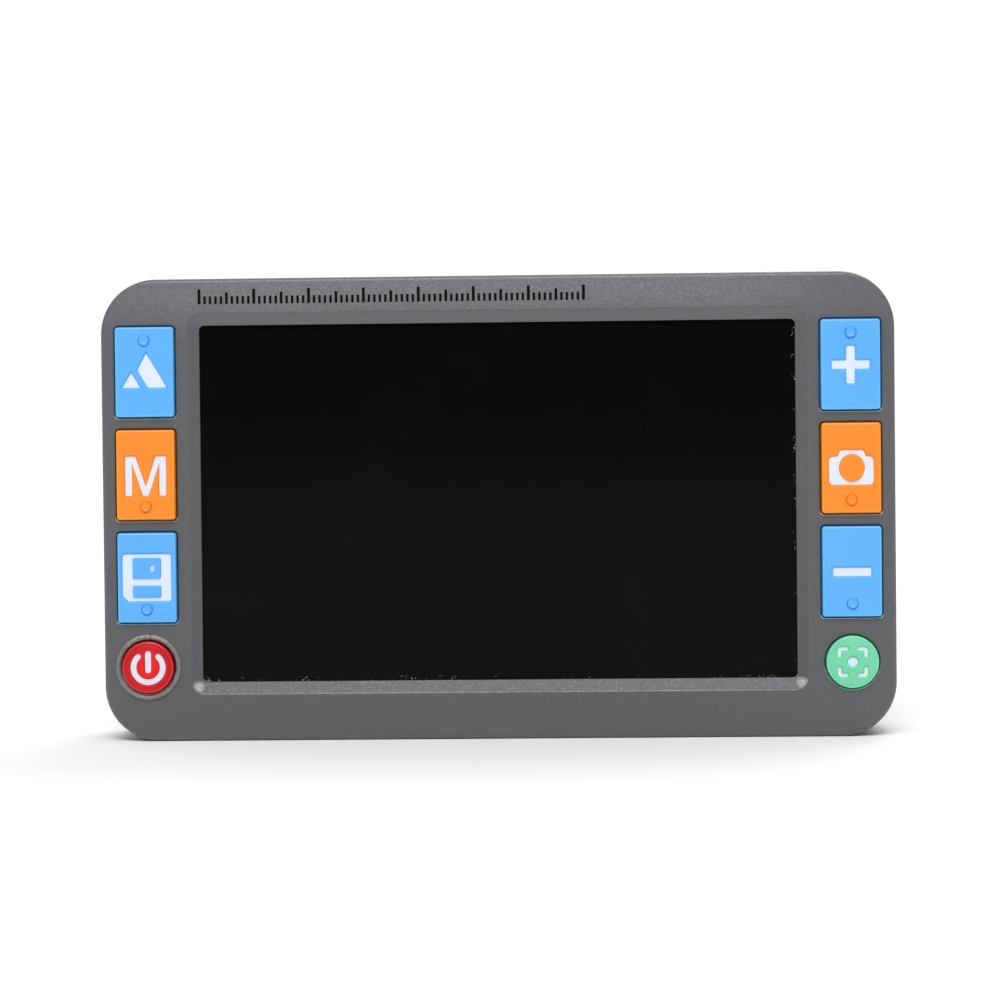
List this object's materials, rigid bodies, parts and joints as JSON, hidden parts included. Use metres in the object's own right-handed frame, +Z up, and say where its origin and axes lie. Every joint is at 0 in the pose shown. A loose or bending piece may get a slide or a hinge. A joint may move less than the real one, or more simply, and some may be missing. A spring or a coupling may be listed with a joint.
{
  "type": "low vision magnifier",
  "caption": "Hand-held electronic magnifier with a wide screen, coloured touch-marked keys down both sides, a rear camera with lights, and a fold-out stand.",
  "frame": {"origin": "on the ground, under the middle of the body, at the centre of the bounding box's base", "axes": "+X to the right as one looks at the screen, +Y from the screen through to the back, +Z up; the device stands on its long lower edge"},
  "size_m": [0.1444, 0.0244, 0.0844],
  "materials": {
    "grey_plastic": "fine moulded grain",
    "screen_black": "polished",
    "lcd_black": "polished",
    "sheet_metal": "brushed",
    "light_guide": "satin",
    "key_blue": "satin",
    "key_orange": "satin",
    "key_red": "satin",
    "key_green": "satin",
    "switch_black": "matt",
    "plunger_white": "matt",
    "circuit_board": "satin solder mask",
    "chip_black": "matt",
    "battery_silver": "satin foil",
    "flex_orange": "satin film",
    "black_plastic": "gloss",
    "clear_glass": "polished",
    "frosted_lens": "frosted",
    "black_rubber": "matt",
    "dark_steel": "dark zinc",
    "bright_steel": "plated",
    "card_black": "matt"
  },
  "bodies": {
    "device": {"front_housing": "grey_plastic", "rear_housing": "grey_plastic", "screen_cover": "screen_black", "lcd_frame": "sheet_metal", "lcd_glass": "lcd_black", "light_guide": "light_guide", "key_board_left": "circuit_board", "key_board_right": "circuit_board", "main_board": "circuit_board", "processor_chip": "chip_black", "battery_cell": "battery_silver", "usb_socket": "bright_steel", "av_jack": "black_plastic", "card_socket": "bright_steel", "display_flex": "flex_orange", "camera_board": "circuit_board", "lens_holder": "black_plastic", "camera_lens": "clear_glass", "camera_window": "clear_glass", "camera_bezel": "black_plastic", "led_left": "frosted_lens", "led_right": "frosted_lens", "light_lens_left": "frosted_lens", "light_lens_right": "frosted_lens", "hinge_rod": "bright_steel", "case_screw_1": "dark_steel", "rear_foot_1": "black_rubber", "case_screw_2": "dark_steel", "rear_foot_2": "black_rubber", "case_screw_3": "dark_steel", "rear_foot_3": "black_rubber", "case_screw_4": "dark_steel", "rear_foot_4": "black_rubber", "image_switch": "switch_black", "mode_switch": "switch_black", "save_switch": "switch_black", "power_switch": "switch_black", "zoom_in_switch": "switch_black", "snapshot_switch": "switch_black", "zoom_out_switch": "switch_black", "focus_switch": "switch_black"},
    "image_button": {"image_key": "key_blue", "image_plunger": "plunger_white"},
    "mode_button": {"mode_key": "key_orange", "mode_plunger": "plunger_white"},
    "save_button": {"save_key": "key_blue", "save_plunger": "plunger_white"},
    "power_button": {"power_key": "key_red", "power_plunger": "plunger_white"},
    "zoom_in_button": {"zoom_in_key": "key_blue", "zoom_in_plunger": "plunger_white"},
    "snapshot_button": {"snapshot_key": "key_orange", "snapshot_plunger": "plunger_white"},
    "zoom_out_button": {"zoom_out_key": "key_blue", "zoom_out_plunger": "plunger_white"},
    "focus_button": {"focus_key": "key_green", "focus_plunger": "plunger_white"},
    "stand": {"stand_frame": "grey_plastic", "stand_pad": "black_rubber"},
    "card": {"memory_card": "card_black"}
  },
  "joints": [
    {"name": "image_press", "type": "slide", "parent": "device", "child": "image_button", "axis": [0, 1, 0], "range_m": [0, 0.0005], "stiffness_N_per_m": 1500},
    {"name": "mode_press", "type": "slide", "parent": "device", "child": "mode_button", "axis": [0, 1, 0], "range_m": [0, 0.0005], "stiffness_N_per_m": 1500},
    {"name": "save_press", "type": "slide", "parent": "device", "child": "save_button", "axis": [0, 1, 0], "range_m": [0, 0.0005], "stiffness_N_per_m": 1500},
    {"name": "power_press", "type": "slide", "parent": "device", "child": "power_button", "axis": [0, 1, 0], "range_m": [0, 0.0005], "stiffness_N_per_m": 1500},
    {"name": "zoom_in_press", "type": "slide", "parent": "device", "child": "zoom_in_button", "axis": [0, 1, 0], "range_m": [0, 0.0005], "stiffness_N_per_m": 1500},
    {"name": "snapshot_press", "type": "slide", "parent": "device", "child": "snapshot_button", "axis": [0, 1, 0], "range_m": [0, 0.0005], "stiffness_N_per_m": 1500},
    {"name": "zoom_out_press", "type": "slide", "parent": "device", "child": "zoom_out_button", "axis": [0, 1, 0], "range_m": [0, 0.0005], "stiffness_N_per_m": 1500},
    {"name": "focus_press", "type": "slide", "parent": "device", "child": "focus_button", "axis": [0, 1, 0], "range_m": [0, 0.0005], "stiffness_N_per_m": 1500},
    {"name": "stand_hinge", "type": "hinge", "parent": "device", "child": "stand", "pos_m": [0, 0.0088, 0.068], "axis": [1, 0, 0], "range_deg": [0, 80]},
    {"name": "card_slide", "type": "slide", "parent": "device", "child": "card", "axis": [1, 0, 0], "range_m": [0, 0.014]}
  ]
}
